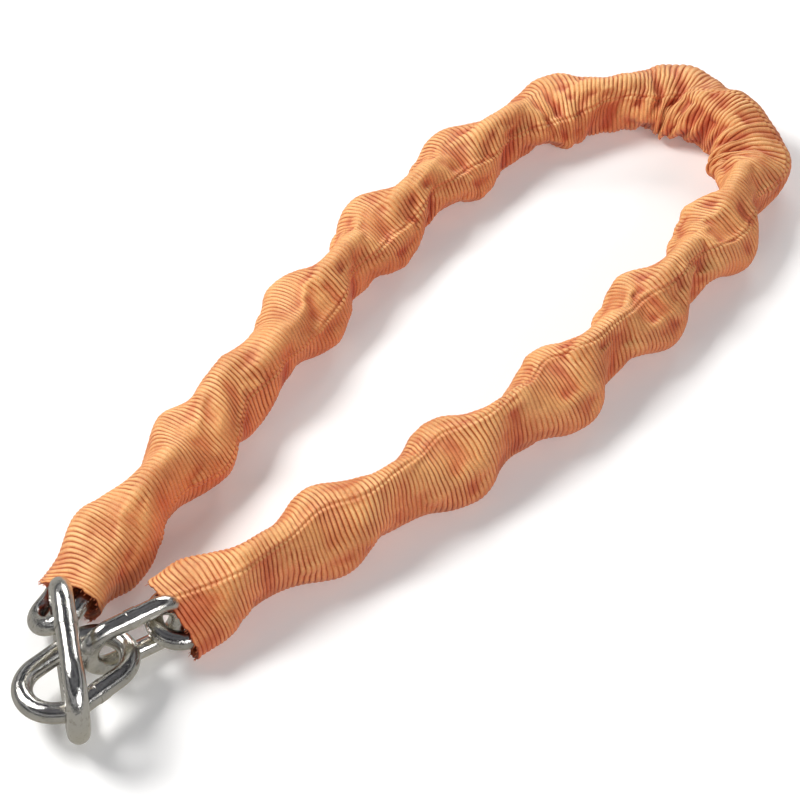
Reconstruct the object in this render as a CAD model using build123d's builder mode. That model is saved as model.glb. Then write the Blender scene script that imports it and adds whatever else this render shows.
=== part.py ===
from build123d import *
import math
import os

os.makedirs("parts", exist_ok=True)

# Security chain in a fabric sleeve, with an oversize ring at each end.
# Millimetres, +Z up. The chain rests on the XY plane in a long loop, with
# both ends at -X -Y and the bend at +X +Y.

# Chain links and end rings: outer sizes
bar_d = 8.0
link_length = 48.0
link_width = 28.5
noose_bar_d = 9.0            # large end ring
noose_length = 73.0
noose_width = 41.0
eye_bar_d = 8.5              # small end ring
eye_length = 55.0
eye_width = 36.0
weld_bulge = 0.25            # the weld collar stands this far out of the bar
weld_length = 4.5
noose_weld_at = 4.5          # along the ring from its centre

pitch = 31.8                                    # link centre to link centre
arc_centre = (link_length - link_width) / 2     # link centre to its end arc's centre
far_centre = pitch - arc_centre                 # link centre to the neighbour's arc centre

# Sleeve: inside half sizes are (along the link's width, along its normal)
wall = 1.0
section_gap = 3.3            # open gap between two sleeve sections
flat_half = (16.5, 9.0)      # at the centre of a flat link
flat_end_half = (12.2, 14.6)
flat_rise_start = 5.0        # a flat link's half height starts to grow here
flat_rise_length = 10.0
upright_half = (14.55, 10.5)     # at the centre of an upright link
upright_end_half = (12.4, 15.2)
round_half = 14.55           # inside radius where the chain twists
core_overrun = 0.4           # the hollow runs past each end, to cut it open
flat_limit = 0.7             # a link is flat if its normal's Z is beyond this
min_slant = 0.8              # limits how far a slanted oval is stretched

# Extra sleeve stations, as distances from the link's centre
upright_near, upright_far = 6.0, 12.0
flat_near = 4.0

# Open ends of the sleeve: distance along the link, inside half sizes
first_mouth = [(-2.0, 15.6, 12.6), (8.0, 14.8, 14.2)]    # on link 1
last_mouth = (9.0, 15.8, 12.4)                           # on the last covered link

root_link = 16               # the link at the bend of the loop
first_shaped_link = 7        # the sleeve is round before this link
round_until = -10.0          # and up to this distance along it
shift = Vector(-17.72, -23.37, 0.34)    # puts the origin under the layout's middle

# Rest layout. link number: centre x, y, z, then heading, pitch and roll in degrees
layout = {
    1: (-131.65, -108.55, 14.90, 61.74, 0.80, -30.00),
    2: (-117.45, -82.13, 15.45, 61.74, 0.50, 32.00),
    3: (-102.92, -55.08, 15.60, 61.74, 0.00, 95.00),
    4: (-87.86, -27.07, 15.60, 61.74, 0.00, -1.00),
    5: (-73.52, -0.39, 15.60, 61.74, 0.00, 59.00),
    6: (-59.03, 26.57, 15.60, 61.74, 0.00, 121.00),
    7: (-44.73, 53.17, 15.60, 57.80, 0.00, 3.00),
    8: (-28.48, 80.50, 15.60, 59.89, 0.00, 90.00),
    9: (-12.17, 107.79, 15.60, 57.47, 0.00, 0.00),
    10: (6.22, 133.71, 15.60, 53.39, 0.00, 90.00),
    11: (25.74, 158.79, 15.60, 49.21, 0.00, 0.00),
    12: (48.30, 181.14, 15.60, 42.73, 0.00, 90.00),
    13: (73.00, 200.88, 15.60, 29.37, 0.00, 0.00),
    14: (103.19, 209.59, 15.60, 10.26, 0.00, 90.00),
    15: (134.34, 211.12, 15.60, -14.26, 0.00, 0.00),
    16: (156.45, 190.67, 15.60, -54.95, 0.00, 90.00),
    17: (168.57, 162.88, 15.60, -93.24, 0.00, 0.00),
    18: (159.34, 132.88, 15.60, -113.17, 0.00, 90.00),
    19: (145.25, 104.50, 15.60, -123.74, 0.00, 0.00),
    20: (126.75, 78.64, 15.60, -126.40, 0.00, 90.00),
    21: (107.65, 53.22, 15.60, -128.03, 0.00, 0.00),
    22: (87.36, 28.74, 15.60, -130.38, 0.00, 90.00),
    23: (66.57, 4.68, 15.60, -131.82, 0.00, 0.00),
    24: (43.65, -17.31, 15.60, -138.13, 0.00, 90.00),
    25: (19.74, -38.26, 15.60, -140.26, 0.00, 0.00),
    26: (-5.10, -58.11, 15.60, -141.86, 0.00, 90.00),
    27: (-30.51, -77.21, 15.60, -145.83, 0.00, 0.00),
    28: (-56.08, -96.10, 15.60, -142.53, 0.00, 90.00),
    29: (-80.79, -116.07, 15.60, -137.70, 0.00, -14.00),
    30: (-105.08, -131.27, 15.55, 32.70, 0.22, 90.80),
}
noose_pose = (-128.61, -147.38, 20.46, 102.33, 0.0, 93.41)
eye_pose = (-126.19, -149.81, 14.83, 46.69, -2.97, -3.26)


def axes_of(pose):
    """Centre, long axis, width axis and normal of a link laid at this pose."""
    x, y, z = pose[:3]
    heading, tilt, roll = (math.radians(angle) for angle in pose[3:])
    long_axis = Vector(
        math.cos(heading) * math.cos(tilt), math.sin(heading) * math.cos(tilt), math.sin(tilt)
    )
    level = Vector(-math.sin(heading), math.cos(heading), 0)
    width_axis = level * math.cos(roll) + long_axis.cross(level) * math.sin(roll)
    return Vector(x, y, z) + shift, long_axis, width_axis, long_axis.cross(width_axis)


frames = {number: axes_of(pose) for number, pose in layout.items()}
last_link = max(layout)
last_covered = last_link - 1


def export_piece(part, label):
    part.label = label
    export_step(part, f"parts/{label}.step")


# --- Links and rings ---

def make_oval(length, width, bar, pose, weld_at=None, weld_side=1):
    """A round bar bent into a stadium; weld_at puts a collar on the side weld_side (+1 or -1)."""
    centre, long_axis, width_axis, normal = axes_of(pose)
    radius = (width - bar) / 2
    half = (length - width) / 2
    with BuildPart() as oval:
        with BuildLine(Plane(origin=centre, x_dir=long_axis, z_dir=normal)):
            Line((-half, -radius), (half, -radius))
            ThreePointArc((half, -radius), (half + radius, 0), (half, radius))
            Line((half, radius), (-half, radius))
            ThreePointArc((-half, radius), (-half - radius, 0), (-half, -radius))
        corner = centre - long_axis * half - width_axis * radius
        with BuildSketch(Plane(origin=corner, x_dir=width_axis, z_dir=long_axis)):
            Circle(bar / 2)
        sweep()
        if weld_at is not None:
            start = (centre + long_axis * (weld_at - weld_length / 2)
                     + width_axis * (weld_side * radius))
            with BuildSketch(Plane(origin=start, x_dir=width_axis, z_dir=long_axis)):
                Circle(bar / 2 + weld_bulge)
            extrude(amount=weld_length)
    return oval.part


# --- Sleeve ---
# A station is an oval across the sleeve:
# (centre, width axis, plane normal, inside half width, inside half height)

def is_flat(number):
    return abs(frames[number][3].Z) > flat_limit


def mean_direction(first, second):
    return (first + second).normalized()


def half_sizes(number, distance):
    """Inside half sizes of the sleeve at a signed distance along the link from its centre."""
    if number < first_shaped_link or (number == first_shaped_link and distance < round_until):
        return round_half, round_half
    away = abs(distance)
    share = min(away / far_centre, 1.0)
    if is_flat(number):
        (width, height), (end_width, end_height) = flat_half, flat_end_half
        width_share = share ** 1.3
        height_share = min(1.0, max(0.0, (away - flat_rise_start) / flat_rise_length))
    else:
        (width, height), (end_width, end_height) = upright_half, upright_end_half
        width_share = max(0.0, (away - arc_centre) / (far_centre - arc_centre))
        height_share = share ** 1.2
    return (width + (end_width - width) * width_share,
            height + (end_height - height) * height_share)


def oval_at(number, point, plane_normal):
    """Station of a link's section, stretched where its plane slants across the link."""
    centre, long_axis, width_axis, normal = frames[number]
    half_w, half_h = half_sizes(number, (point - centre).dot(long_axis))
    along = width_axis - plane_normal * width_axis.dot(plane_normal)
    across = normal - plane_normal * normal.dot(plane_normal)
    return (point, along.normalized(), plane_normal,
            half_w / max(min_slant, along.length), half_h / max(min_slant, across.length))


def oval_along(number, distance, plane_normal=None):
    """Station at a distance along the link, square to it unless a plane normal is given."""
    centre, long_axis = frames[number][:2]
    return oval_at(number, centre + long_axis * distance, plane_normal or long_axis)


def boundary(number):
    """Where this link's section meets the next: the arc centre that the two links turn about."""
    owner, side = (number, 1) if number < root_link else (number + 1, -1)
    centre, long_axis = frames[owner][:2]
    point = centre + long_axis * (arc_centre * side)
    if is_flat(owner):
        return point, mean_direction(frames[number][1], frames[number + 1][1])
    return point, long_axis


def end_station(number, side):
    """The oval at one end of a link's section, half a gap back from the boundary."""
    point, normal = boundary(number if side > 0 else number - 1)
    return oval_at(number, point - normal * (side * section_gap / 2), normal)


def stations_to_centre(number):
    """Stations from the start of a link's section to its centre."""
    long_axis = frames[number][1]
    start = end_station(number, -1)
    middle = []
    if not is_flat(number):
        if number <= root_link:
            middle = [oval_along(number, -upright_far), oval_along(number, -upright_near)]
    elif number < root_link:
        normal = mean_direction(frames[number - 1][1], long_axis)
        middle = [oval_along(number, -arc_centre, normal)]
    else:
        middle = [oval_along(number, -flat_near, mean_direction(long_axis, start[2]))]
    return [start, *middle, oval_along(number, 0)]


def stations_past_centre(number):
    """Stations beyond a link's centre, to the end of its section."""
    long_axis = frames[number][1]
    end = end_station(number, 1)
    middle = []
    if not is_flat(number):
        if number >= root_link:
            middle = [oval_along(number, upright_near), oval_along(number, upright_far)]
    elif number > root_link:
        normal = mean_direction(frames[number + 1][1], long_axis)
        middle = [oval_along(number, arc_centre, normal)]
    elif number >= first_shaped_link:
        middle = [oval_along(number, flat_near, mean_direction(long_axis, end[2]))]
    return [*middle, end]


def first_stations():
    """Section on link 2, reaching back over link 1, whose width axis it keeps throughout."""
    centre_1, long_1, width_1, _ = frames[1]
    centre_2, long_2 = frames[2][:2]
    stations = [(centre_1 + long_1 * distance, width_1, long_1, half_w, half_h)
                for distance, half_w, half_h in first_mouth]
    for distance in (-upright_far, 0):
        stations.append((centre_2 + long_2 * distance, width_1, long_2, round_half, round_half))
    point, _, normal, half_w, half_h = end_station(2, 1)
    return [*stations, (point, width_1, normal, half_w, half_h)]


def last_stations():
    """Section on the last covered link, ending in the open mouth."""
    centre, long_axis, width_axis, _ = frames[last_covered]
    distance, half_w, half_h = last_mouth
    mouth = (centre + long_axis * distance, width_axis, long_axis, half_w, half_h)
    return [*stations_to_centre(last_covered), mouth]


def loft_ovals(stations, overrun, grow):
    """Solid through the stations, with its ends moved out by overrun and its ovals grown."""
    end = len(stations) - 1
    with BuildPart() as solid:
        for i, (point, width_axis, normal, half_w, half_h) in enumerate(stations):
            if i == 0:
                point = point - normal * overrun
            elif i == end:
                point = point + normal * overrun
            ring = [((half_w + grow) * math.cos(math.radians(angle)),
                     (half_h + grow) * math.sin(math.radians(angle)))
                    for angle in range(0, 360, 30)]
            with BuildSketch(Plane(origin=point, x_dir=width_axis, z_dir=normal)):
                with BuildLine():
                    Spline(*ring, periodic=True)
                make_face()
        loft(ruled=True)
    return solid.part


def sleeve_section(stations):
    core = loft_ovals(stations, core_overrun, 0)
    outside = loft_ovals(stations, 0, wall)
    with BuildPart() as section:
        add(outside)
        add(core, mode=Mode.SUBTRACT)
    return section.part


# --- Build ---

for number, pose in layout.items():
    # only the links at the sleeve's open ends and beyond carry a weld collar
    weld_at = 0.0 if number in (1, last_covered, last_link) else None
    link = make_oval(link_length, link_width, bar_d, pose, weld_at)
    export_piece(link, f"link_{number:02d}")

noose = make_oval(noose_length, noose_width, noose_bar_d, noose_pose, noose_weld_at)
export_piece(noose, "noose_ring")
eye = make_oval(eye_length, eye_width, eye_bar_d, eye_pose, 0.0, -1)
export_piece(eye, "end_ring")

for number in range(2, last_link):
    if number == 2:
        stations = first_stations()
    elif number == last_covered:
        stations = last_stations()
    else:
        stations = stations_to_centre(number) + stations_past_centre(number)
    export_piece(sleeve_section(stations), f"sleeve_{number:02d}")
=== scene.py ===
"""A chain in a ribbed cloth sleeve, with a noose ring and an end ring, laid in a long narrow loop.

It rests on the floor, z = 0. Link 1 lies at the near left (-x, -y). The chain travels clockwise
seen from above: up the left side to the far bend at the right (+x, +y) and back down to link 30.
The sleeve covers links 1 to 29. Lengths are in millimetres until they go into a mesh.
"""
import bpy
import math
import numpy as np
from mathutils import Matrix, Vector


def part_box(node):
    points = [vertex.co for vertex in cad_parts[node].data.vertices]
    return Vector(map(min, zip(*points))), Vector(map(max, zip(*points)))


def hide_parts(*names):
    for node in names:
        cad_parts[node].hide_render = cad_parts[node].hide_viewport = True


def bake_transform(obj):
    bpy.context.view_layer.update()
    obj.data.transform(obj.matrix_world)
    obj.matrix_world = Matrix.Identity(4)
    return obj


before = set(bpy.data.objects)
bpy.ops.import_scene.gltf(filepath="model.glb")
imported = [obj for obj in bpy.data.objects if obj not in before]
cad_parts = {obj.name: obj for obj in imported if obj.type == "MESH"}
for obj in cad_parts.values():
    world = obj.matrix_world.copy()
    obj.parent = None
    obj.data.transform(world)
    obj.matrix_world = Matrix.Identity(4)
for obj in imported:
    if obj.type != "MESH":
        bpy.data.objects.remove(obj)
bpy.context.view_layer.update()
scene = bpy.context.scene

# ---------------------------------------------------------------- sizes, mm
MM = 0.001
PITCH = 31.8               # along the sleeve from link to link
LAST = 29                  # the last link inside the sleeve
BAR_RADIUS = 4.0
BEND_RADIUS = 10.25        # middle line of the bar round the end of a link
HALF_STRAIGHT = 9.75       # from the middle of a link to where its bend starts
CLEAR = 4.0                # radius the cloth clears, before its own thickness
THICK = 1.0                # of the cloth
GIRTH = 86.0               # nominal distance round the sleeve, the scale of the columns
RIB = 2.12                 # spacing of the ribs of the weave
RINGS_PER_RIB = 8
STITCH_PITCH = 2.75
START = 1 - 2.0 / PITCH    # ends of the sleeve, as link numbers
END = LAST + 10.5 / PITCH
FAR_BEND = 16.6            # link number where the sleeve turns back

SHIFT = np.array((-17.72, -23.37, 0.34))
LINK_HEIGHT = 15.6         # centres of the level links, before the shift
VIEW = np.array((0.0, 0.7071, -0.7071))      # the way the camera looks

# links 1 to 30: x, y, z of the centre before the shift, then heading, tilt and roll in degrees
LAYOUT = [
    (-131.65, -108.55, 14.9, 61.74, 0.8, -30), (-117.45, -82.13, 15.45, 61.74, 0.5, 32),
    (-102.92, -55.08, 15.6, 61.74, 0, 95), (-87.86, -27.07, 15.6, 61.74, 0, -1),
    (-73.52, -0.39, 15.6, 61.74, 0, 59), (-59.03, 26.57, 15.6, 61.74, 0, 121),
    (-44.73, 53.17, 15.6, 57.80, 0, 3), (-28.48, 80.50, 15.6, 59.89, 0, 90),
    (-12.17, 107.79, 15.6, 57.47, 0, 0), (6.22, 133.71, 15.6, 53.39, 0, 90),
    (25.74, 158.79, 15.6, 49.21, 0, 0), (48.30, 181.14, 15.6, 42.73, 0, 90),
    (73.00, 200.88, 15.6, 29.37, 0, 0), (103.19, 209.59, 15.6, 10.26, 0, 90),
    (134.34, 211.12, 15.6, -14.26, 0, 0), (156.45, 190.67, 15.6, -54.95, 0, 90),
    (168.57, 162.88, 15.6, -93.24, 0, 0), (159.34, 132.88, 15.6, -113.17, 0, 90),
    (145.25, 104.50, 15.6, -123.74, 0, 0), (126.75, 78.64, 15.6, -126.40, 0, 90),
    (107.65, 53.22, 15.6, -128.03, 0, 0), (87.36, 28.74, 15.6, -130.38, 0, 90),
    (66.57, 4.68, 15.6, -131.82, 0, 0), (43.65, -17.31, 15.6, -138.13, 0, 90),
    (19.74, -38.26, 15.6, -140.26, 0, 0), (-5.10, -58.11, 15.6, -141.86, 0, 90),
    (-30.51, -77.21, 15.6, -145.83, 0, 0), (-56.08, -96.10, 15.6, -142.53, 0, 90),
    (-80.79, -116.07, 15.6, -137.70, 0, -14), (-105.08, -131.27, 15.55, 32.70, 0.22, 90.8),
]


# ---------------------------------------------------------------- small helpers
def unit(vectors):
    return vectors / np.linalg.norm(vectors, axis=-1, keepdims=True)


def clamp(values):
    return np.clip(values, 0, 1)


def bell(x, centre, width):
    return np.exp(-((x - centre) / width) ** 2)


def distance_along(points):
    """Length of the line from its first point to each of its points."""
    return np.concatenate([[0], np.cumsum(np.linalg.norm(np.diff(points, axis=0), axis=1))])


def assign(target, **values):
    for name, value in values.items():
        setattr(target, name, value)


def new_object(name, points, faces):
    mesh = bpy.data.meshes.new(name)
    mesh.from_pydata(np.asarray(points).tolist(), [], faces)
    obj = bpy.data.objects.new(name, mesh)
    scene.collection.objects.link(obj)
    return obj


def floor_object(name):
    half = 6.0             # metres
    corners = [(-half, -half, 0), (half, -half, 0), (half, half, 0), (-half, half, 0)]
    return new_object(name, corners, [(0, 1, 2, 3)])


def smooth_noise(seed, x, y, cells):
    """Smooth value noise in -1..1 at points x, y; y repeats after a whole number of cells."""
    rows = int(np.ceil(np.max(x) - np.min(x))) + 6
    x = x - np.floor(np.min(x)) + 1
    table = np.random.RandomState(seed).uniform(-1, 1, (rows + 2, cells))
    ix, iy = np.floor(x).astype(int), np.floor(y).astype(int)
    fx, fy = x - ix, y - iy
    fx = fx * fx * fx * (fx * (fx * 6 - 15) + 10)
    fy = fy * fy * fy * (fy * (fy * 6 - 15) + 10)
    a, b = iy % cells, (iy + 1) % cells
    return (table[ix, a] * (1 - fx) * (1 - fy) + table[ix + 1, a] * fx * (1 - fy)
            + table[ix, b] * (1 - fx) * fy + table[ix + 1, b] * fx * fy)


def line_noise(seed, x):
    """The same noise along one line of its table."""
    return smooth_noise(seed, x, np.ones_like(x), cells=6)


# ---------------------------------------------------------------- the chain
def link_axes(x, y, z, heading, tilt, roll):
    """Centre of a link, then its directions: along, across in its plane, and out of its plane."""
    heading, tilt, roll = math.radians(heading), math.radians(tilt), math.radians(roll)
    along = np.array((math.cos(heading) * math.cos(tilt), math.sin(heading) * math.cos(tilt),
                      math.sin(tilt)))
    level = np.array((-math.sin(heading), math.cos(heading), 0.0))
    across = level * math.cos(roll) + np.cross(along, level) * math.sin(roll)
    return np.array((x, y, z)) + SHIFT, along, across, np.cross(along, across)


LINK = {k: link_axes(*row) for k, row in enumerate(LAYOUT, 1)}
for k in LINK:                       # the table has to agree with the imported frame
    lo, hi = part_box("link_%02d" % k)
    gap = (np.array(lo) + np.array(hi)) / 2 / MM - LINK[k][0]
    if np.abs(gap).max() > 0.6:
        raise RuntimeError("link %d is not where the table says: %s" % (k, gap))

# ---------------------------------------------------------------- path of the sleeve
CENTRES = np.array([LINK[k][0] for k in range(1, LAST + 1)])
SLOPES = np.zeros_like(CENTRES)
SLOPES[1:-1] = (CENTRES[2:] - CENTRES[:-2]) / 2
SLOPES[0] = LINK[1][1] * PITCH * 0.95
SLOPES[-1] = LINK[LAST][1] * PITCH


def path(s):
    """Centre and direction of the sleeve at link numbers s, which may be fractional.

    A cubic runs through the link centres, and straight on past both ends.
    """
    i = np.clip(np.floor(s).astype(int), 1, LAST - 1)
    t = (np.clip(s, 1, LAST) - i)[:, None]
    p0, p1, m0, m1 = CENTRES[i - 1], CENTRES[i], SLOPES[i - 1], SLOPES[i]
    point = ((2 * t**3 - 3 * t**2 + 1) * p0 + (t**3 - 2 * t**2 + t) * m0
             + (-2 * t**3 + 3 * t**2) * p1 + (t**3 - t**2) * m1)
    slope = ((6 * t * t - 6 * t) * p0 + (3 * t * t - 4 * t + 1) * m0
             + (-6 * t * t + 6 * t) * p1 + (3 * t * t - 2 * t) * m1)
    before, after = np.minimum(s - 1, 0)[:, None], np.maximum(s - LAST, 0)[:, None]
    point = point + before * PITCH * LINK[1][1] + after * PITCH * LINK[LAST][1]
    return point, unit(slope)


# rings of the mesh: whole ribs between link centres, so a piece ends in the groove between two ribs
ring_s, ring_phase, centre_ring = [], [], {}
stations = [START, *range(1, LAST + 1), END]
for a, b in zip(stations[:-1], stations[1:]):
    length = distance_along(path(np.linspace(a, b, 60))[0])[-1]
    count = max(1, int(round(length / RIB))) * RINGS_PER_RIB
    if isinstance(a, int):
        centre_ring[a] = len(ring_s)
    ring_s += [a + (b - a) * q / count for q in range(count)]
    ring_phase += [(q % RINGS_PER_RIB) / RINGS_PER_RIB for q in range(count)]
ring_s, ring_phase = np.array(ring_s + [END]), np.array(ring_phase + [0.0])
RINGS = len(ring_s)
centre, travel = path(ring_s)
ahead = travel[:, None, :]                           # to multiply a value at each mesh point
ring_run = distance_along(centre)
left = unit(np.cross((0, 0, 1), travel))             # left of travel, the outside of the loop
up = np.cross(travel, left)

# how sharply the path turns, mm^-1, positive towards the inside of the loop
heading = np.unwrap(np.arctan2(travel[:, 1], travel[:, 0]))
SMOOTH = 60                                          # rings averaged on each side
curve = np.pad(-np.gradient(heading, ring_run), SMOOTH, mode="edge")
curve = np.convolve(curve, np.ones(2 * SMOOTH + 1) / (2 * SMOOTH + 1), mode="valid")

# ---------------------------------------------------------------- cross-sections
# half width, half height, and how much of the slump is added to the roll
END_SECTIONS = {1: (18.8, 11.0, 0), 2: (18.2, 12.2, 0), LAST: (19.6, 9.6, 0)}
TWISTED_SECTION = (16.6, 12.0, 0)
FLAT_SECTION = (19.5, 11.0, 0.78)
UPRIGHT_SECTION = (15.9, 10.5, 0.30)
LAST_ROLL = -22                                      # degrees, of the section over the last link
MAX_SLUMP = 0.6                                      # radians
BETWEEN_LINKS = np.diag((14.6**2, 14.3**2))


def section(k):
    """Squared half sizes of the sleeve over link k as a 2x2 matrix, across and up.

    The cloth slumps to one side of a link.
    """
    direction = path(np.array([float(k)]))[1][0]
    sideways = np.cross(direction, VIEW)
    slump = math.atan2(sideways[2], sideways @ unit(np.cross((0, 0, 1), direction)))
    if slump > math.pi / 2:
        slump -= math.pi
    if slump < -math.pi / 2:
        slump += math.pi
    slump = max(-MAX_SLUMP, min(MAX_SLUMP, slump))
    roll = math.radians(LAST_ROLL if k == LAST else LAYOUT[k - 1][5])
    if k in END_SECTIONS:
        width, height, share = END_SECTIONS[k]
    elif k < 8 and abs(math.sin(2 * roll)) > 0.3:
        width, height, share = TWISTED_SECTION
    elif abs(math.cos(roll)) > 0.8:
        width, height, share = FLAT_SECTION
    else:
        width, height, share = UPRIGHT_SECTION
    roll += share * slump
    turn = np.array(((math.cos(roll), -math.sin(roll)), (math.sin(roll), math.cos(roll))))
    return turn @ np.diag((width * width, height * height)) @ turn.T


# the cloth has crept along the chain towards the far bend: link number, creep in mm
CREEP = [(1.0, 0.0), (3.0, 0.8), (7.0, 5.0), (10.0, 7.0), (13.0, 6.4), (15.5, 1.6),
         (FAR_BEND, 0.0), (17.6, -3.8), (19.0, -8.4), (21.0, -7.4), (23.0, -4.8), (27.0, -3.0),
         (29.4, 0.0)]
crept_s = ring_s - np.interp(ring_s, *zip(*CREEP)) / PITCH

# each ring mixes the sections of the link before, the gap between and the link after
SECTIONS = np.array([section(k) for k in range(1, LAST + 1)])
before = np.clip(np.floor(crept_s).astype(int), 1, LAST - 1)
part = clamp(crept_s - before)
share_before = 0.5 * np.cos(np.pi * part) + 0.25 * (np.cos(2 * np.pi * part) + 1)
share_after = -0.5 * np.cos(np.pi * part) + 0.25 * (np.cos(2 * np.pi * part) + 1)
share_between = 1 - share_before - share_after
squared = (share_before[:, None, None] * SECTIONS[before - 1]
           + share_between[:, None, None] * BETWEEN_LINKS
           + share_after[:, None, None] * SECTIONS[before])
# square root of each 2x2 matrix: it carries a unit circle onto the section
det = np.sqrt(squared[:, 0, 0] * squared[:, 1, 1] - squared[:, 0, 1] ** 2)
root = squared + det[:, None, None] * np.eye(2)
root /= np.sqrt(squared[:, 0, 0] + squared[:, 1, 1] + 2 * det)[:, None, None]

# the lengthwise seam: link number, angle round the section in degrees
# (0 is the outside of the loop, 90 the top, 180 the inside of the loop)
SEAM = [
    (0.9, 214), (1.8, 208), (2.66, 196), (3.35, 178), (4.1, 176), (4.64, 172), (5.1, 146),
    (5.6, 152), (6.3, 172), (7.11, 143), (8.25, 159), (9.06, 132), (9.6, 148), (10.2, 153),
    (10.6, 149), (11.08, 133), (12.0, 166), (13.06, 143), (14.0, 150), (14.8, 128), (15.6, 92),
    (16.4, 52), (17.4, 14), (18.0, 26), (18.73, 44), (19.54, 50), (20.27, 58), (20.88, 76),
    (21.49, 73), (22.09, 72), (22.58, 90), (22.9, 102), (23.67, 95), (24.24, 86), (24.97, 97),
    (25.7, 83), (26.22, 73), (26.55, 76), (26.95, 87), (27.28, 81), (27.76, 62), (28.21, 54),
    (28.69, 70), (29.4, 86),
]
kernel = np.hanning(91)
seam_deg = np.pad(np.interp(ring_s, *zip(*SEAM)), 45, mode="edge")
seam_deg = np.convolve(seam_deg, kernel / kernel.sum(), mode="valid")

# columns of the mesh, mm round from the seam: finer next to it
NEAR_SEAM = [0, 0.28, 0.6, 0.95, 1.35, 1.85, 2.5, 3.3]
half_round = np.array(NEAR_SEAM + list(np.linspace(NEAR_SEAM[-1], GIRTH / 2, 43)[1:]))
column = np.concatenate([half_round, GIRTH - half_round[1:-1][::-1]])
COLUMNS = len(column)
from_seam = np.where(column > GIRTH / 2, column - GIRTH, column)
seam_gap = np.abs(from_seam)

cloth = np.zeros((RINGS, COLUMNS, 3))                # middle surface, which all that follows shapes
outward = np.zeros_like(cloth)
angle = np.zeros((RINGS, COLUMNS))
circle = np.linspace(0, 2 * np.pi, 241)
for r in range(RINGS):
    around = math.radians(seam_deg[r]) + circle
    perimeter = distance_along((root[r] @ np.array((np.cos(around), np.sin(around)))).T)
    angle[r] = np.interp(column / GIRTH * perimeter[-1], perimeter, around)
    direction = np.array((np.cos(angle[r]), np.sin(angle[r])))
    x, y = root[r] @ direction
    cloth[r] = centre[r] + x[:, None] * left[r] + y[:, None] * up[r]
    normal = np.linalg.inv(root[r]) @ direction
    normal /= np.linalg.norm(normal, axis=0)
    outward[r] = normal[0][:, None] * left[r] + normal[1][:, None] * up[r]

# the tube is slack: it rides up on one side of the chain and stands off the outside of the far bend
lift = unit(np.cross(travel, VIEW))
lift *= (lift[:, 2] / 0.53).clip(-1.3, 1.3)[:, None]
cloth += 1.5 * lift[:, None, :]
slack = clamp(np.cos(angle) * 0.85 + 0.40 * np.sin(angle)) ** 1.3
stand_off = 3.0 * bell(ring_s, 14.6, 0.9) + 11.5 * bell(ring_s, 16.05, 0.55)
cloth += stand_off[:, None, None] * slack[:, :, None] * outward

# ---------------------------------------------------------------- the cloth settles over the links
SIM_SCALE = 10.0         # the solver works on a larger model, where its defaults are stable
SIM_COLUMNS = 40
SIM_STEP = 22            # one coarse ring for this many fine ones
SIM_FRAMES = 18
SIM_FLOOR = 0.9          # lowest starting height, mm
SIM_REACH = 3.2          # longest movement that is kept, mm
BAR_SIDES = 10
BEND_POINTS = 7


def bar_mesh():
    """Low meshes of the link bars, for the cloth to lie on."""
    points, faces = [], []
    for k in range(1, LAST + 1):
        middle, along, across, normal = LINK[k]
        loop = []                    # middle line of the bar and the way out from it
        for side in (1, -1):
            for q in range(BEND_POINTS):
                a = math.pi * q / (BEND_POINTS - 1) - math.pi / 2
                loop.append((side * (HALF_STRAIGHT + BEND_RADIUS * math.cos(a)),
                             side * BEND_RADIUS * math.sin(a),
                             side * math.cos(a), side * math.sin(a)))
        base = len(points)
        for x, y, out_x, out_y in loop:
            for q in range(BAR_SIDES):
                a = 2 * math.pi * q / BAR_SIDES
                out = BAR_RADIUS * math.cos(a)
                points.append((middle + along * (x + out * out_x) + across * (y + out * out_y)
                               + normal * BAR_RADIUS * math.sin(a)) * MM * SIM_SCALE)
        for i in range(len(loop)):
            a, b = base + i * BAR_SIDES, base + ((i + 1) % len(loop)) * BAR_SIDES
            for q in range(BAR_SIDES):
                after = (q + 1) % BAR_SIDES
                faces.append((a + q, b + q, b + after, a + after))
    return points, faces


def coarse_sleeve():
    """Ring numbers, points in mm and faces of the mesh that is simulated."""
    rings = np.unique(np.concatenate([np.arange(0, RINGS, SIM_STEP), [RINGS - 1]]))
    places = np.arange(SIM_COLUMNS) * GIRTH / SIM_COLUMNS
    start = np.zeros((len(rings), SIM_COLUMNS, 3))
    for i, r in enumerate(rings):
        for axis in range(3):
            closed = np.append(cloth[r, :, axis], cloth[r, 0, axis])
            start[i, :, axis] = np.interp(places, np.append(column, GIRTH), closed)
    start[:, :, 2] = np.maximum(start[:, :, 2], SIM_FLOOR)
    faces = []
    for a in range(0, (len(rings) - 1) * SIM_COLUMNS, SIM_COLUMNS):
        b = a + SIM_COLUMNS
        for j in range(SIM_COLUMNS):
            after = (j + 1) % SIM_COLUMNS
            faces.append((a + j, a + after, b + after, b + j))
    return rings, start, faces


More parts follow.
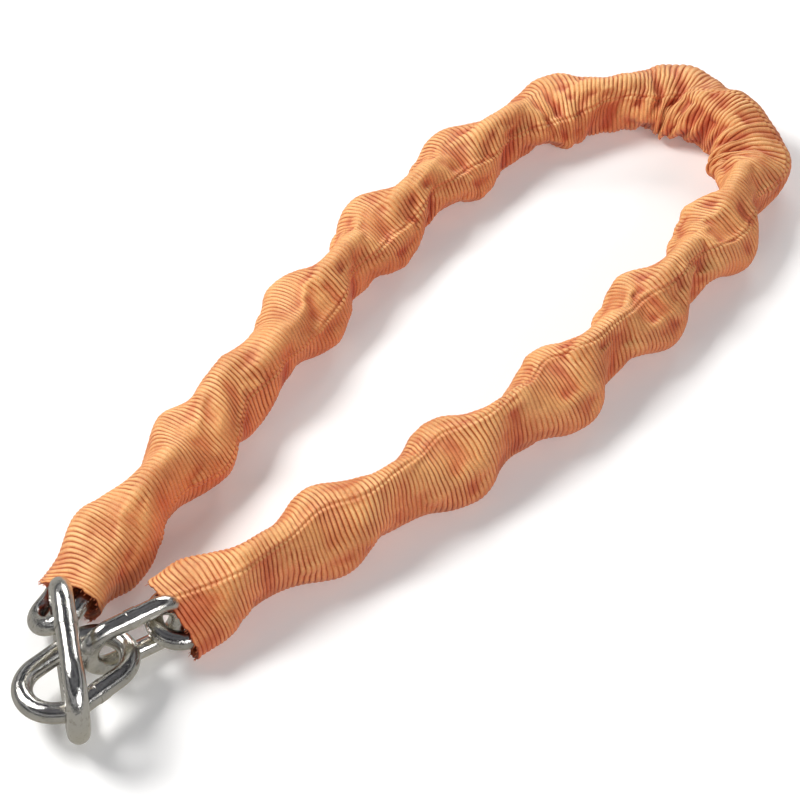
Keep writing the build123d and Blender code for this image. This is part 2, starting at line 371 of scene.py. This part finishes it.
def settle():
    """Run the sleeve as cloth over the chain and the floor.

    Returns how far each coarse point moved, mm, and the ring numbers of the coarse rings.
    """
    rings, start, faces = coarse_sleeve()
    bars = new_object("sim_bars", *bar_mesh())
    ground = floor_object("sim_ground")
    for obj in (bars, ground):
        obj.modifiers.new("Collision", "COLLISION")
        assign(obj.collision, thickness_outer=0.004, thickness_inner=0.02, cloth_friction=12.0,
               damping=0.5)
    tube = new_object("sim_tube", start.reshape(-1, 3) * MM * SIM_SCALE, faces)
    modifier = tube.modifiers.new("Cloth", "CLOTH")
    assign(modifier.settings, quality=6, mass=0.25, air_damping=2.0,
           tension_stiffness=30, compression_stiffness=30, shear_stiffness=12,
           bending_stiffness=1.2, tension_damping=8, compression_damping=8, shear_damping=8,
           shrink_min=-0.045)
    assign(modifier.collision_settings, collision_quality=3, distance_min=0.009,
           use_self_collision=False)
    assign(modifier.point_cache, frame_start=1, frame_end=SIM_FRAMES)
    assign(scene, frame_start=1, frame_end=SIM_FRAMES)
    for number in range(1, SIM_FRAMES + 1):
        scene.frame_set(number)
    evaluated = tube.evaluated_get(bpy.context.evaluated_depsgraph_get())
    mesh = evaluated.to_mesh()
    settled = np.zeros(len(mesh.vertices) * 3)
    mesh.vertices.foreach_get("co", settled)
    evaluated.to_mesh_clear()
    scene.frame_set(1)
    for obj in (bars, ground, tube):
        mesh = obj.data
        bpy.data.objects.remove(obj)
        bpy.data.meshes.remove(mesh)
    moved = (settled.reshape(-1, 3) / MM / SIM_SCALE).reshape(start.shape) - start
    far = np.linalg.norm(moved, axis=2, keepdims=True)
    return moved * np.minimum(1.0, SIM_REACH / np.maximum(far, 1e-6)), rings


def cubic_weights(f):
    """Weights of the four neighbours of a point a part f of the way past the second."""
    return np.stack([-0.5 * f + f**2 - 0.5 * f**3, 1 - 2.5 * f**2 + 1.5 * f**3,
                     0.5 * f + 2 * f**2 - 1.5 * f**3, -0.5 * f**2 + 0.5 * f**3], -1)


def spread(moved, rings):
    """The coarse movement carried smoothly to every fine point."""
    x = column / GIRTH * SIM_COLUMNS
    ix = np.floor(x).astype(int)
    weights = cubic_weights(x - ix)
    wide = sum(moved[:, (ix + d - 1) % SIM_COLUMNS] * weights[:, d][None, :, None]
               for d in range(4))
    last = len(rings) - 1
    y = np.interp(np.arange(RINGS), rings, np.arange(len(rings)))
    iy = np.clip(np.floor(y).astype(int), 0, last - 1)
    weights = cubic_weights(y - iy)
    return sum(wide[np.clip(iy + d - 1, 0, last)] * weights[:, d][:, None, None]
               for d in range(4))


cloth = cloth + spread(*settle())


def bar_gap(points, k):
    """Distance from points to the middle line of link k's bar."""
    middle, along, across, normal = LINK[k]
    offset = points - middle
    x, y, z = offset @ along, offset @ across, offset @ normal
    x = x - np.clip(x, -HALF_STRAIGHT, HALF_STRAIGHT)
    return np.hypot(np.hypot(x, y) - BEND_RADIUS, z)


def clear_bars(least):
    """Push the cloth out of the links it lies over, so that it is always outside the steel."""
    for k in range(1, LAST + 1):
        near = np.where(np.abs(ring_s - k) < 0.95)[0]
        for _ in range(3):
            short = np.clip(least - bar_gap(cloth[near], k), 0, None)
            cloth[near] += outward[near] * short[:, :, None]


# ---------------------------------------------------------------- drape: folds, creases and slack
run, girth = np.meshgrid(ring_run, column, indexing="ij")
to_end = ring_run[-1] - run
to_mouth = np.minimum(run, to_end)


def noise(seed, along, cells):
    """Noise over the sleeve; along is in cells, and so many cells go once round."""
    return smooth_noise(seed, along, girth / GIRTH * cells, cells)


inside = clamp(-np.cos(angle))                       # 1 on the inside of the loop
upper = clamp(np.sin(angle))
turn = clamp(curve / 0.022)[:, None]                 # 1 where the path bends sharply
between = 1 - bell((ring_s - np.round(ring_s)) * PITCH, 0, 6.0)[:, None]    # 0 over a link centre

# push is how far the cloth goes out, mm: first broad and slanting waves all over
broad = noise(11, run / 26.0, 4)
push = 0.45 * broad
push += 0.38 * noise(12, (run + 0.55 * from_seam) / 11.0, 6)
push += 0.30 * noise(13, (run - 0.7 * from_seam) / 8.0, 7)
# cross folds at the bends, 10.6 mm apart, deepest on the inside and weaker over the top
fold_line = run + 2.6 * noise(14, run / 30.0, 5) + 0.28 * seam_gap
folds = np.sin(2 * np.pi * fold_line / 10.6)
folds = np.sign(folds) * np.abs(folds) ** 0.8
push += turn * inside**0.7 * (1.25 * folds - 0.5)
push += turn * (0.25 + 0.5 * upper) * 0.55 * folds
# creases that run slantwise from one bulge to the next, in places
crease = np.sin(2 * np.pi * (run * 0.5 + from_seam * 0.9) / 15.0 + 2.0 * broad)
push += 0.30 * between * crease * clamp(noise(15, run / 45.0, 3) + 0.35)
cloth += outward * np.clip(push, -1.75, 1.9)[:, :, None]
clear_bars(least=CLEAR + THICK + 0.25)

# the underside goes nearly flat where it rests: depth below REST is kept to this share
REST, REST_SHARE = 0.55, 0.12
height = cloth[:, :, 2]
cloth[:, :, 2] = np.where(height < REST, REST + REST_SHARE * (height - REST), height)

# the mouths hang open: the layer away from the camera is drawn back into the sleeve
MOUTH_DEPTH, MOUTH_REACH = 9.0, 34.0
for distance, sign in ((run, 1), (to_end, -1)):
    near = clamp(1 - distance / MOUTH_REACH) ** 2
    facing = cloth @ -VIEW
    top, bottom = facing.max(1, keepdims=True), facing.min(1, keepdims=True)
    under = clamp(((top - facing) / (top - bottom) - 0.45) / 0.55)
    cloth += ahead * (sign * MOUTH_DEPTH * near * under * under * (3 - 2 * under))[:, :, None]

# the ribs lean and waver: the rings slide along the sleeve, in slow, middling and fine waves
lean = 1.5 * noise(21, run / 40.0, 3) + 0.5 * noise(22, run / 13.0, 7)
lean += 0.12 * noise(23, run / 4.0, 17)
# they kink where they meet the seam, and lean less near the mouths
kink = np.sign(from_seam) * np.exp(-seam_gap / 5.0)
lean += 0.35 * kink * line_noise(24, run / 25.0)
lean *= 0.25 + 0.75 * clamp(to_mouth / 6.0)
# their high side leans towards the far bend
to_bend = np.clip((FAR_BEND - ring_s) / 1.5, -1, 1)[:, None] * clamp(to_mouth / 40.0)
high = ((cloth - centre[:, None, :]) * lift[:, None, :]).sum(2) / 16.0
lean += 2.6 * to_bend * np.clip(high, -0.3, 1)
cloth += ahead * lean[:, :, None]
clear_bars(least=CLEAR + THICK + 0.2)

normals = unit(np.cross(np.roll(cloth, -1, axis=1) - np.roll(cloth, 1, axis=1),
                        np.gradient(cloth, axis=0)))

# ---------------------------------------------------------------- the weave: ribs, seam, cut ends
rib = np.abs(np.sin(np.pi * ring_phase[:, None])) ** 0.6        # 0 in the groove, 1 on the crown
rib_vary = 1.0 + 0.22 * noise(31, run / RIB + 0.001, 29)
groove = bell(seam_gap, 0, 0.42)                                # along the seam itself
lips = bell(seam_gap, 1.25, 0.62)                               # raised on both sides of it
relief = 0.60 * (rib - 0.55) * rib_vary * (1 - 0.75 * groove)
relief = relief - 0.18 * groove + 0.34 * lips + 0.30 * bell(seam_gap, 0, 1.9)
outer = cloth + normals * relief[:, :, None]
inner = cloth - normals * (THICK + 0.28 * (rib - 0.55))[:, :, None]

# the cut ends: turned out a little and uneven
FLARE, RAG, EDGE_REACH = 0.55, 0.55, 2.6
rag = noise(41, girth * 0.9, 43)
for distance, sign in ((run, -1), (to_end, 1)):
    edge = clamp(1 - distance / EDGE_REACH)
    shift = normals * (FLARE * edge**2)[:, :, None] + ahead * (sign * RAG * rag * edge)[:, :, None]
    outer += shift
    inner += shift


# ---------------------------------------------------------------- materials
class Shader:
    """The emptied node tree of a material or world, with short ways to fill it."""

    def __init__(self, owner):
        owner.use_nodes = True
        self.tree = owner.node_tree
        self.tree.nodes.clear()

    def put(self, socket, value):
        """Link an output to the socket, or set the socket's value."""
        if isinstance(value, bpy.types.NodeSocket):
            self.tree.links.new(value, socket)
        else:
            socket.default_value = value

    def fill(self, node, values):
        for name, value in values.items():
            if name in node.inputs.keys():
                self.put(node.inputs[name], value)
            else:
                setattr(node, name, value)

    def node(self, kind, *inputs, **values):
        """A node with its first inputs given in order and others, or its settings, by name."""
        node = self.tree.nodes.new("ShaderNode" + kind)
        self.fill(node, values)
        for socket, value in zip(node.inputs, inputs):
            self.put(socket, value)
        return node

    def ramp(self, source, stops):
        """A colour ramp; a stop is a position and a colour or a grey level."""
        node = self.node("ValToRGB", source)
        elements = node.color_ramp.elements
        while len(elements) < len(stops):
            elements.new(0.5)
        for element, (position, colour) in zip(elements, stops):
            element.position = position
            grey = isinstance(colour, float)
            element.color = ((colour,) * 3 if grey else tuple(colour)) + (1,)
        return node.outputs[0]

    def multiply(self, base, tint, amount):
        """Multiply one colour by another, by some amount."""
        node = self.node("Mix", data_type="RGBA", blend_type="MULTIPLY")
        for slot, value in ((0, amount), (6, base), (7, tint)):
            self.put(node.inputs[slot], value)
        return node.outputs[2]

    def maths(self, operation, *inputs, clamped=False):
        return self.node("Math", *inputs, operation=operation, use_clamp=clamped).outputs[0]

    def noise(self, vector, **settings):
        return self.node("TexNoise", Vector=vector, **settings).outputs["Fac"]

    def bump(self, height, **settings):
        return self.node("Bump", Height=height, **settings).outputs[0]

    def object_place(self):
        return self.node("TexCoord").outputs["Object"]

    def by_ray(self, ray, others, these):
        """One shader for this kind of ray and another for the others."""
        path_node = self.node("LightPath")
        return self.node("MixShader", path_node.outputs[ray], others, these).outputs[0]


def new_material(name):
    """A material, its shader, its Principled node and the input of its output node."""
    material = bpy.data.materials.new(name)
    shader = Shader(material)
    surface = shader.node("OutputMaterial").inputs[0]
    bsdf = shader.node("BsdfPrincipled")
    shader.put(surface, bsdf.outputs[0])
    return material, shader, bsdf, surface


def fabric_material():
    material, sh, bsdf, _ = new_material("sleeve_fabric_weave")
    rib_at, seam_at, run_at, fold_shade_at = [
        sh.node("Attribute", attribute_name=name).outputs["Fac"]
        for name in ("rib", "seam", "run", "fold_shade")]

    def cloth_place(run_scale, seam_scale, **depth):
        return sh.node("CombineXYZ", X=sh.maths("MULTIPLY", run_at, run_scale),
                       Y=sh.maths("MULTIPLY", seam_at, seam_scale), **depth).outputs[0]

    # painted shade and highlight: crown to groove, pale crowns and dark grooves; in places the
    # grooves are packed and hardly show
    packed = sh.noise(cloth_place(run_scale=0.075, seam_scale=0.06, Z=3.7),
                      Scale=1.0, Detail=2.0, Roughness=0.5)
    keep = sh.ramp(packed, [(0.34, 0.92), (0.50, 0.66), (0.66, 0.24)])
    calm = sh.ramp(fold_shade_at, [(0.68, 1.0), (0.90, 0.40)])
    pivot = 0.74                     # rib height whose colour stays as it is
    rib_shade = sh.maths("MULTIPLY_ADD", sh.maths("SUBTRACT", rib_at, pivot),
                     sh.maths("MULTIPLY", keep, calm), pivot)
    colour = sh.ramp(rib_shade, [(0.00, (0.16, 0.016, 0.010)), (0.30, (0.43, 0.072, 0.024)),
                             (0.60, (0.77, 0.285, 0.092)), (1.0, (0.95, 0.56, 0.245))])
    # patches along the sleeve, where the dye and the wear differ
    plain = sh.node("CombineXYZ", X=run_at, Y=seam_at).outputs[0]
    patch = sh.ramp(sh.noise(plain, Scale=0.055, Detail=3.0, Roughness=0.55), [
        (0.35, (0.80, 0.62, 0.60)), (0.52, 1.0), (0.70, (1.12, 1.16, 1.15))])
    colour = sh.multiply(colour, patch, amount=0.75)
    # single threads: fine streaks that cross each rib
    thread = sh.noise(cloth_place(run_scale=0.9, seam_scale=4.2),
                      Scale=1.0, Detail=2.0, Roughness=0.6)
    streak = sh.ramp(thread, [
        (0.30, (0.72, 0.66, 0.62)), (0.50, 1.0), (0.72, (1.22, 1.26, 1.30))])
    colour = sh.multiply(colour, streak, amount=0.8)
    # weft threads run along the rib: long soft streaks
    weft = sh.noise(cloth_place(run_scale=5.5, seam_scale=0.35),
                    Scale=1.0, Detail=2.0, Roughness=0.55)
    soft = sh.ramp(weft, [(0.32, (0.78, 0.74, 0.72)), (0.55, 1.0), (0.75, (1.15, 1.2, 1.22))])
    colour = sh.multiply(colour, soft, amount=0.6)
    # the fold map: painted shade, hollows go red; painted highlight, crowns go pale
    hollow_shade = sh.ramp(fold_shade_at, [(0.0, (0.68, 0.26, 0.28)), (0.25, (0.88, 0.62, 0.62)),
                               (0.50, (1.0, 0.97, 0.96)), (1.0, (1.06, 1.16, 1.20))])
    colour = sh.multiply(colour, hollow_shade, amount=0.85)
    # painted shade: turned away from the eye the cloth is painted redder
    facing = sh.node("LayerWeight", Blend=0.35).outputs["Facing"]
    grazing_shade = sh.ramp(facing, [(0.35, 1.0), (0.95, (0.80, 0.42, 0.34))])
    colour = sh.multiply(colour, grazing_shade, amount=0.9)
    # painted light: paler where it faces up and to the left, towards the key light, and redder
    # where it faces away
    dot = sh.node("VectorMath", sh.node("NewGeometry").outputs["Normal"], (-0.50, 0.20, 0.84),
                  operation="DOT_PRODUCT").outputs["Value"]
    key_light_tint = sh.ramp(sh.maths("MULTIPLY_ADD", dot, 0.5, 0.5), [
        (0.30, (0.84, 0.52, 0.55)), (0.56, (0.95, 0.80, 0.80)), (0.76, 1.0),
        (0.95, (1.05, 1.17, 1.27))])
    colour = sh.multiply(colour, key_light_tint, amount=0.9)
    height = sh.maths("ADD", thread, sh.maths("MULTIPLY", weft, 0.7))
    sh.fill(bsdf, {
        "Base Color": colour,
        "Roughness": sh.ramp(thread, [(0.3, 0.50), (0.7, 0.34)]),
        "Specular IOR Level": 0.42,
        "Specular Tint": (1.0, 0.80, 0.55, 1),
        "Sheen Weight": 0.22,
        "Sheen Roughness": 0.45,
        "Sheen Tint": (1.0, 0.62, 0.35, 1),
        "Normal": sh.bump(height, Strength=0.5, Distance=0.00022),
    })
    return material


def thread_material():
    material, sh, bsdf, _ = new_material("seam_thread")
    grain = sh.noise(sh.object_place(), Scale=2600.0, Detail=2.0)
    sh.fill(bsdf, {
        "Base Color": sh.ramp(grain, [(0.3, (0.36, 0.055, 0.018)), (0.7, (0.74, 0.20, 0.055))]),
        "Roughness": 0.55,
        "Sheen Weight": 0.2,
        "Normal": sh.bump(grain, Strength=0.4, Distance=0.0001),
    })
    return material


def steel_material(name, dark):
    """Zinc plated steel; dark is taken off each channel of its tone."""
    material, sh, bsdf, _ = new_material(name)
    place = sh.object_place()
    broad = sh.noise(place, Scale=55.0, Detail=4.0, Roughness=0.6)
    mottle = sh.noise(place, Scale=420.0, Detail=5.0, Roughness=0.65)
    grain = sh.noise(place, Scale=1900.0, Detail=3.0, Roughness=0.6)
    tones = [(0.30, (0.50, 0.49, 0.475)), (0.50, (0.66, 0.65, 0.63)), (0.72, (0.74, 0.73, 0.71))]
    tone = sh.ramp(broad, [(at, [value - dark for value in rgb]) for at, rgb in tones])
    spots = sh.ramp(mottle, [(0.28, (0.62, 0.58, 0.50)), (0.44, 1.0)])
    colour = sh.multiply(tone, spots, amount=0.8)
    # painted reflection: the underside is tinted faint yellow, standing in for the warm floor
    normal = sh.node("NewGeometry").outputs["Normal"]
    normal_z = sh.node("SeparateXYZ", normal).outputs[2]
    under = sh.maths("MULTIPLY_ADD", normal_z, -0.8, 0.15, clamped=True)
    colour = sh.multiply(colour, (1.0, 0.94, 0.74, 1), amount=under)
    bump = sh.bump(broad, Strength=0.18, Distance=0.0008)
    bump = sh.bump(mottle, Strength=0.35, Distance=0.0005, Normal=bump)
    bump = sh.bump(grain, Strength=0.35, Distance=0.00015, Normal=bump)
    sh.fill(bsdf, {
        "Base Color": colour,
        "Metallic": 1.0,
        "Roughness": sh.ramp(mottle, [(0.25, 0.30), (0.5, 0.13), (0.75, 0.09)]),
        "Normal": bump,
    })
    return material


FABRIC = fabric_material()
THREAD = thread_material()
LINK_STEEL = steel_material("link_zinc", dark=0.02)
RING_STEEL = steel_material("ring_zinc", dark=0.0)

for name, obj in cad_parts.items():
    is_ring = name in ("noose_ring", "end_ring", "link_30")
    obj.data.materials.clear()
    obj.data.materials.append(RING_STEEL if is_ring else LINK_STEEL)
    for polygon in obj.data.polygons:
        polygon.material_index = 0


# ---------------------------------------------------------------- fold map: painted shade and highlight
def fold_shade_map():
    """0 in the hollows of the draped cloth, 1 on its crests, from its shape; the fabric paints
    shade in the hollows and a highlight on the crests.
    """
    total = np.zeros(cloth.shape[:2])
    # compare each point with the middle of two others: rings away, columns away, weight
    for rings, columns, weight in ((14, 0, 1.0), (0, 4, 0.6), (9, 3, 0.8), (9, -3, 0.8)):
        later = np.clip(np.arange(RINGS) + rings, 0, RINGS - 1)
        earlier = np.clip(np.arange(RINGS) - rings, 0, RINGS - 1)
        middle = (np.roll(cloth, -columns, axis=1)[later]
                  + np.roll(cloth, columns, axis=1)[earlier]) / 2
        total += weight * ((cloth - middle) * normals).sum(2)
    total -= np.median(total, axis=1, keepdims=True)
    # painted shade and highlight: each bulge is painted red on its near half and pale just past the
    # middle, towards the far bend, most of all below the seam
    u = (crept_s - np.round(crept_s)) * to_bend[:, 0]
    side = from_seam * np.where(ring_s < FAR_BEND, 1, -1)[:, None]
    below = clamp(side / 3.0) * clamp((34 - seam_gap) / 8.0)
    above = clamp((-side - 0.5) / 3.0) * clamp((20 - seam_gap) / 8.0)
    outbound = clamp((16.0 - ring_s) / 1.5)          # 1 before the far bend, 0 after it
    wave_below = (1 - outbound) * (0.34 * bell(u, 0.25, 0.13) - 0.34 * bell(u, -0.03, 0.12))
    wave_below += outbound * (0.30 * bell(u, 0.19, 0.13) - 0.46 * bell(u, -0.17, 0.16))
    wave_above = outbound * (0.26 * bell(u, 0.20, 0.14) - 0.20 * bell(u, -0.12, 0.12))
    lively = 0.85 + 0.5 * line_noise(61, ring_s * 1.3)
    return clamp(0.55 + total / 5.2 + (wave_below * lively)[:, None] * below
                 + (wave_above * lively)[:, None] * above)


fold_shade = fold_shade_map()

# ---------------------------------------------------------------- threads
THREAD_SIDES = 6
# place along the half length, share of the radius
THREAD_PROFILE = [(-0.86, 0.62), (-0.4, 1.0), (0.4, 1.0), (0.86, 0.62)]
LOOSE_ENDS = 46                      # at each mouth
rng = np.random.RandomState(7)


def thread_mesh(threads, offset):
    """Points and faces of short pointed threads; the faces count points from offset."""
    points, faces = [], []
    for middle, along, side, rise, half, radius in threads:
        base = offset + len(points)
        for place, share in THREAD_PROFILE:
            for q in range(THREAD_SIDES):
                a = 2 * math.pi * q / THREAD_SIDES
                points.append(middle + along * (half * place)
                              + (side * math.cos(a) + rise * math.sin(a)) * (radius * share))
        points += [middle - along * half, middle + along * half]
        end = base + (len(THREAD_PROFILE) - 1) * THREAD_SIDES
        first_tip = end + THREAD_SIDES
        for a in range(base, end, THREAD_SIDES):
            b = a + THREAD_SIDES
            for q in range(THREAD_SIDES):
                after = (q + 1) % THREAD_SIDES
                faces.append((a + q, b + q, b + after, a + after))
        for q in range(THREAD_SIDES):
            after = (q + 1) % THREAD_SIDES
            faces.append((first_tip, base + q, base + after))
            faces.append((first_tip + 1, end + after, end + q))
    return points, faces


def seam_stitches(r0, r1):
    """Stitches along the seam between two rings."""
    stitches = []
    first = math.ceil(ring_run[r0] / STITCH_PITCH + 0.2)
    last = math.floor(ring_run[r1] / STITCH_PITCH - 0.2)
    for q in range(first, last + 1):
        r = min(max(int(np.searchsorted(ring_run, q * STITCH_PITCH)), r0 + 4), r1 - 4)
        along = unit(cloth[r + 3, 0] - cloth[r - 3, 0])
        normal = normals[r, 0]
        stitches.append((cloth[r, 0] - normal * 0.10, along, np.cross(normal, along), normal,
                         0.85, 0.20))
    return stitches


def loose_ends(ring, sign):
    """Loose thread ends at a cut mouth; sign is 1 where they point along the travel."""
    threads = []
    for _ in range(LOOSE_ENDS):
        c = int(rng.randint(0, COLUMNS))
        normal = normals[ring, c]
        foot = outer[ring, c] - normal * (0.2 + 0.5 * rng.rand())
        along = unit(travel[ring] * sign * (0.7 + 0.6 * rng.rand())
                     + normal * rng.uniform(-0.2, 0.55) + left[ring] * rng.uniform(-0.25, 0.25))
        side = np.cross(normal, travel[ring])
        threads.append((foot + along * 0.5, along, side, np.cross(along, side),
                        0.7 + 0.7 * rng.rand(), 0.13))
    return threads


# ---------------------------------------------------------------- sleeve pieces, one for each gap
FIRST_PIECE, LAST_PIECE = 1, LAST - 1
INNER_STEP = 18                      # rings between the inner rings of the middle pieces
THREAD_VALUE = 0.6                   # every attribute on the threads
BEND_FROM, BEND_TO = 0.27, 0.73      # shares of the way between two centres, paired with the links at a piece's ends
FROM_FAR_LINK = (9, 11, 20)          # for these the pair of ends is listed from the far link


def tube_faces(outer_rows, inner_rows):
    """Quads of the outside, the inside and the two cut ends; a row is its first point's number."""
    here = np.arange(COLUMNS)
    after = (here + 1) % COLUMNS
    quads = [np.stack([a + here, a + after, b + after, b + here], 1)
             for a, b in zip(outer_rows[:-1], outer_rows[1:])]
    quads += [np.stack([a + here, b + here, b + after, a + after], 1)
              for a, b in zip(inner_rows[:-1], inner_rows[1:])]
    a, b = outer_rows[0], inner_rows[0]
    quads.append(np.stack([a + after, a + here, b + here, b + after], 1))
    a, b = outer_rows[-1], inner_rows[-1]
    quads.append(np.stack([a + here, a + after, b + after, b + here], 1))
    return np.concatenate(quads).tolist()


def edge_keys(pairs):
    pairs = np.sort(pairs, axis=1).astype(np.int64)
    return pairs[:, 0] * 1000000 + pairs[:, 1]


def mark_sharp(mesh, rows):
    """Hard edges round these rows, where the surfaces meet the cut ends."""
    here = np.arange(COLUMNS)
    wanted = [np.stack([row + here, row + (here + 1) % COLUMNS], 1) for row in rows]
    pairs = np.zeros(len(mesh.edges) * 2, np.int32)
    mesh.edges.foreach_get("vertices", pairs)
    sharp = np.isin(edge_keys(pairs.reshape(-1, 2)), edge_keys(np.concatenate(wanted)))
    mesh.attributes.new("sharp_edge", "BOOLEAN", "EDGE").data.foreach_set("value", sharp)


def sleeve_piece(k):
    """The sleeve from link k to the next; the first and last pieces run on to the mouths."""
    r0 = 0 if k == FIRST_PIECE else centre_ring[k]
    r1 = RINGS - 1 if k == LAST_PIECE else centre_ring[k + 1]
    rings = np.arange(r0, r1 + 1)
    threads = seam_stitches(r0, r1)
    inner_rings = rings
    if k == FIRST_PIECE:
        threads += loose_ends(0, sign=-1)
    elif k == LAST_PIECE:
        threads += loose_ends(RINGS - 1, sign=1)
    else:
        inner_rings = np.unique(np.append(rings[::INNER_STEP], r1))
    points = np.concatenate([outer[rings].reshape(-1, 3), inner[inner_rings].reshape(-1, 3)])
    outer_rows = np.arange(len(rings)) * COLUMNS
    inner_rows = (len(rings) + np.arange(len(inner_rings))) * COLUMNS
    faces = tube_faces(outer_rows, inner_rows)
    thread_points, thread_faces = thread_mesh(threads, offset=len(points))
    name = "sleeve_cloth_%02d" % k
    obj = new_object(name, np.concatenate([points, thread_points]) * MM, faces + thread_faces)
    mesh = obj.data

    # attribute: its grid over the sleeve, and what it is multiplied by on the inside, where the low
    # shares paint shade
    for label, grid, inner_share in (("rib", rib, 0.35), ("seam", from_seam, 1),
                                     ("run", run, 1), ("fold_shade", fold_shade, 0.3)):
        grid = np.broadcast_to(grid, (RINGS, COLUMNS))
        values = np.concatenate([grid[rings].ravel(), grid[inner_rings].ravel() * inner_share,
                                 np.full(len(thread_points), THREAD_VALUE)])
        attribute = mesh.attributes.new(label, "FLOAT", "POINT")
        attribute.data.foreach_set("value", values.astype(np.float32))
    mesh.materials.append(FABRIC)
    mesh.materials.append(THREAD)
    slots = np.zeros(len(mesh.polygons), np.int32)
    slots[len(faces):] = 1
    mesh.polygons.foreach_set("material_index", slots)
    mesh.polygons.foreach_set("use_smooth", np.ones(len(mesh.polygons), bool))
    mark_sharp(mesh, (outer_rows[0], outer_rows[-1], inner_rows[0], inner_rows[-1]))
    mesh.validate()
    mesh.update()

    ends = [("link_%02d" % k, BEND_FROM), ("link_%02d" % (k + 1), BEND_TO)]
    if k in FROM_FAR_LINK:
        ends.reverse()
    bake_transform(obj)
    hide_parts("sleeve_%02d" % (k + 1))


for k in range(FIRST_PIECE, LAST_PIECE + 1):
    sleeve_piece(k)


# ---------------------------------------------------------------- stage, light, camera (metres)
def stage_floor():
    """White paper that shows as a dim warm glow in reflections."""
    obj = floor_object("stage_floor")
    material, sh, bsdf, surface = new_material("stage_paper")
    tone = sh.noise(sh.object_place(), Scale=2.0, Detail=2.0)
    sh.fill(bsdf, {
        "Base Color": sh.ramp(tone, [(0.3, 0.90), (0.7, 0.93)]),
        "Roughness": 0.9,
        "Specular IOR Level": 0.1,
        "Emission Color": (1, 1, 1, 1),
        "Emission Strength": 0.16,
    })
    glow = sh.node("Emission", Color=(1.0, 0.965, 0.87, 1), Strength=0.41)
    sh.put(surface, sh.by_ray("Is Glossy Ray", others=bsdf.outputs[0], these=glow.outputs[0]))
    obj.data.materials.append(material)


def place_aimed(name, data, location, target):
    """A light or camera at a place, looking at a target."""
    obj = bpy.data.objects.new(name, data)
    scene.collection.objects.link(obj)
    obj.location = location
    view = Vector(target) - Vector(location)
    obj.rotation_euler = view.to_track_quat("-Z", "Y").to_euler()
    return obj


def area(name, location, target, width, height, energy, colour):
    light = bpy.data.lights.new(name, "AREA")
    assign(light, energy=energy, color=colour, shape="RECTANGLE", size=width, size_y=height)
    place_aimed(name, light, location, target)


def studio_world():
    """White to the camera; to other rays a dark room with bright bands by height."""
    world = bpy.data.worlds.new("studio")
    scene.world = world
    sh = Shader(world)
    output = sh.node("OutputWorld")
    white = sh.node("Background", Color=(1, 1, 1, 1), Strength=1.0)
    direction = sh.node("TexCoord").outputs["Generated"]
    bands = sh.ramp(sh.node("SeparateXYZ", direction).outputs[2], [
        (0.0, (0.42, 0.41, 0.40)), (0.07, (0.46, 0.46, 0.45)), (0.11, (0.04, 0.04, 0.045)),
        (0.20, (0.012, 0.012, 0.015)), (0.37, (0.02, 0.02, 0.025)), (0.40, (0.60, 0.60, 0.61)),
        (0.43, 0.95), (0.49, 0.95), (0.52, (0.02, 0.02, 0.024)), (0.74, (0.025, 0.025, 0.03)),
        (0.84, (0.14, 0.14, 0.15)), (0.93, (0.18, 0.18, 0.19)), (1.0, (0.06, 0.06, 0.07))])
    room = sh.node("Background", Color=bands, Strength=1.0)
    sh.put(output.inputs[0], sh.by_ray("Is Camera Ray", others=room.outputs[0],
                                       these=white.outputs[0]))


def add_camera():
    """Looks down at 45 degrees from the front."""
    back_and_up = 699.9              # mm, the same both ways
    target = SHIFT + (0, 0, LINK_HEIGHT)
    location = target + np.array((0, -back_and_up, back_and_up))
    data = bpy.data.cameras.new("camera")
    scene.camera = place_aimed("camera", data, location * MM, target * MM)
    assign(data, lens=102.08, sensor_width=36.0, clip_start=0.01, clip_end=50.0)


stage_floor()
area("key", location=(-1.10, 0.30, 1.20), target=(-0.02, 0.0, 0.0), width=0.7, height=0.5,
     energy=25.5, colour=(1.0, 0.985, 0.96))
area("fill", location=(0.9, -1.2, 0.8), target=(0.0, 0.0, 0.0), width=0.8, height=0.4,
     energy=9.0, colour=(1.0, 1.0, 1.0))
area("rim", location=(0.3, 1.4, 0.8), target=(0.0, 0.0, 0.0), width=0.9, height=0.25,
     energy=9.0, colour=(1.0, 0.99, 0.97))
studio_world()
add_camera()
assign(scene.view_settings, view_transform="Standard", look="None")
